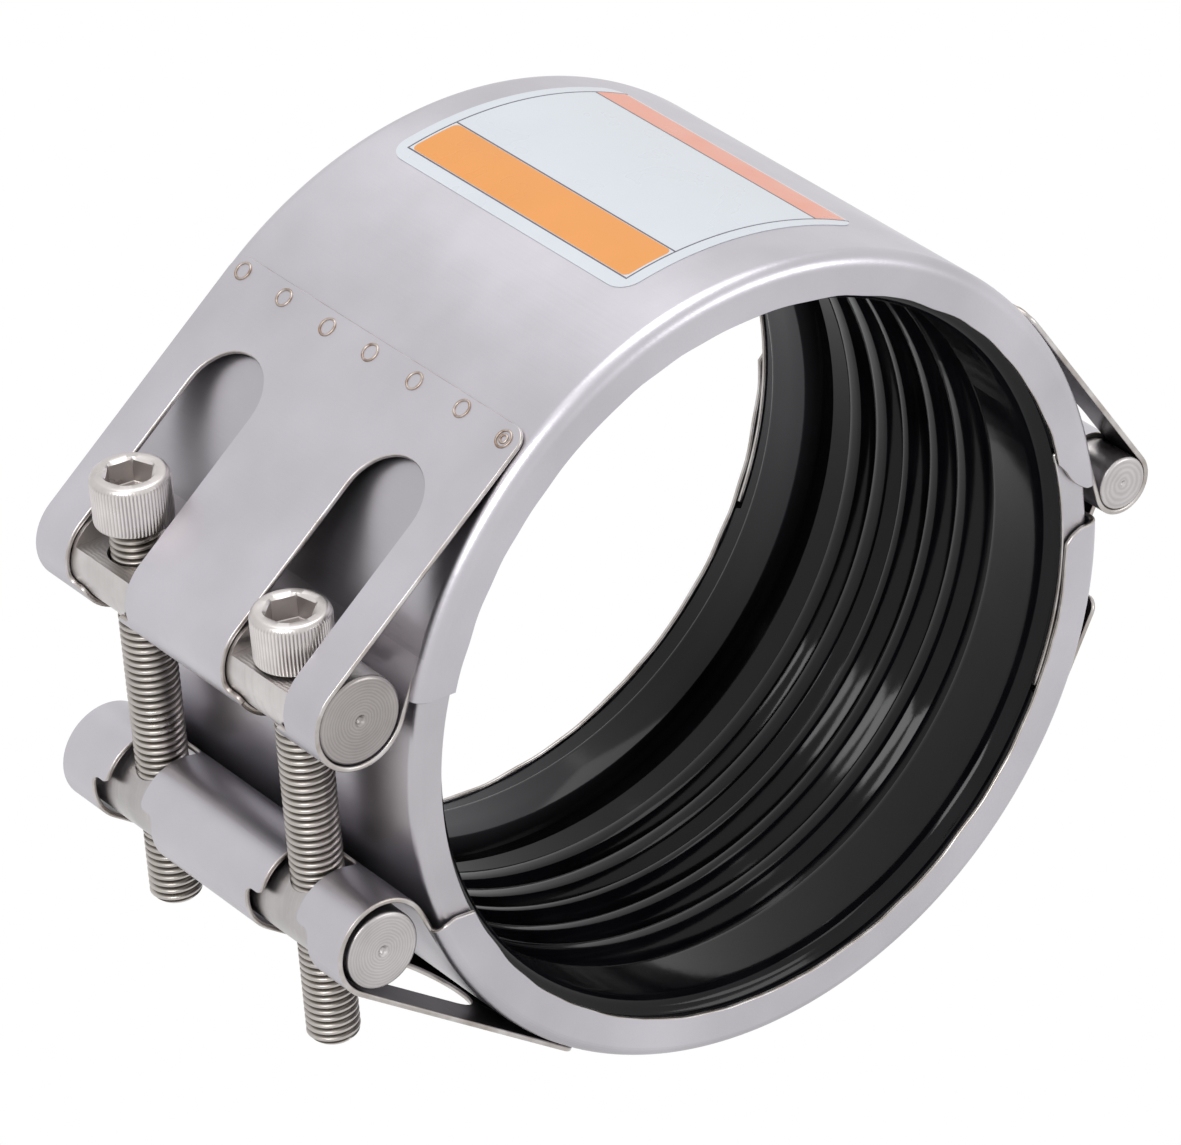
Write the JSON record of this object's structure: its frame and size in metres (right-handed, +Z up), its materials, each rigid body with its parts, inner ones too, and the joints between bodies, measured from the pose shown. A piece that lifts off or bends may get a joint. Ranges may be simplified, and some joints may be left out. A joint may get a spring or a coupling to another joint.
{
  "type": "pipe repair coupling",
  "caption": "Hinged steel coupling that clamps round a pipe over a ribbed rubber sleeve and is closed by socket head bolts through round bars.",
  "frame": {"origin": "middle of the pipe bore", "axes": "+Y along the pipe from the front end to the rear end, +X towards the hinge pin, +Z up, from the lower casing to the upper one"},
  "size_m": [0.227, 0.112, 0.1912],
  "materials": {
    "casing_steel": "satin",
    "bar_steel": "turned",
    "bolt_steel": "turned",
    "sleeve_rubber": "semi-gloss",
    "label_film": "printed film"
  },
  "bodies": {
    "lower_half": {"lower_casing": "casing_steel", "hinge_pin": "bar_steel", "hinge_side_bridge": "casing_steel", "rubber_sleeve": "sleeve_rubber"},
    "upper_half": {"upper_casing": "casing_steel", "bolt_side_bridge": "casing_steel", "label": "label_film"},
    "upper_bar": {"upper_bar": "bar_steel"},
    "lower_bar": {"lower_bar": "bar_steel"},
    "front_bolt": {"front_bolt": "bolt_steel"},
    "rear_bolt": {"rear_bolt": "bolt_steel"}
  },
  "joints": [
    {"name": "casing_swing", "type": "hinge", "parent": "lower_half", "child": "upper_half", "pos_m": [0.10448, 0, 0], "axis": [0, 1, 0], "range_deg": [-1, 12], "deforming": ["rubber_sleeve"]},
    {"name": "upper_bar_turn", "type": "hinge", "parent": "upper_half", "child": "upper_bar", "pos_m": [-0.10299, 0, 0.0294], "axis": [0, 1, 0], "range_deg": [-6.1, 0.6]},
    {"name": "lower_bar_turn", "type": "hinge", "parent": "lower_half", "child": "lower_bar", "pos_m": [-0.10299, 0, -0.0294], "axis": [0, 1, 0], "range_deg": [-0.6, 6.1]},
    {"name": "front_bolt_turn", "type": "hinge", "parent": "upper_bar", "child": "front_bolt", "pos_m": [-0.10299, -0.0295, 0.0294], "axis": [0, 0, 1], "continuous": true},
    {"name": "rear_bolt_turn", "type": "hinge", "parent": "upper_bar", "child": "rear_bolt", "pos_m": [-0.10299, 0.0295, 0.0294], "axis": [0, 0, 1], "continuous": true}
  ],
  "couplings": [
    {"joint": "upper_bar_turn", "follows": "casing_swing", "ratio": -0.5},
    {"joint": "lower_bar_turn", "follows": "casing_swing", "ratio": 0.5}
  ]
}
